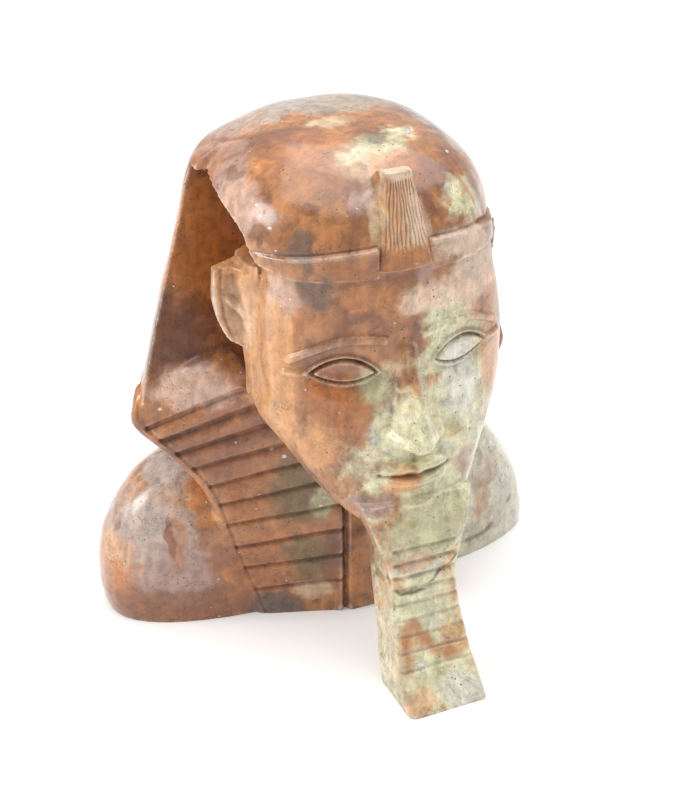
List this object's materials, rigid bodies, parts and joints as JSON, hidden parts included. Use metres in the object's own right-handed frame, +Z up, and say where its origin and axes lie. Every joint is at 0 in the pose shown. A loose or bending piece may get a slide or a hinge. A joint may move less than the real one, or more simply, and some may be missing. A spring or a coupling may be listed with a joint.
{
  "type": "ruler bust sculpture",
  "caption": "Carved stone bust of a ruler in a pleated headcloth, with a worn cobra on the brow and a long false beard that reaches the ground.",
  "frame": {"origin": "middle of the bounding box's underside, on the ground the bust stands on", "axes": "+Z up; the face looks towards -Y; +X is the sculpted figure's own left side"},
  "size_m": [0.1406, 0.1228, 0.1505],
  "materials": {
    "stone": "polished soft veined stone, red-brown with cream, grey-green and mauve patches"
  },
  "bodies": {
    "root": {"bust": "stone"}
  },
  "joints": []
}
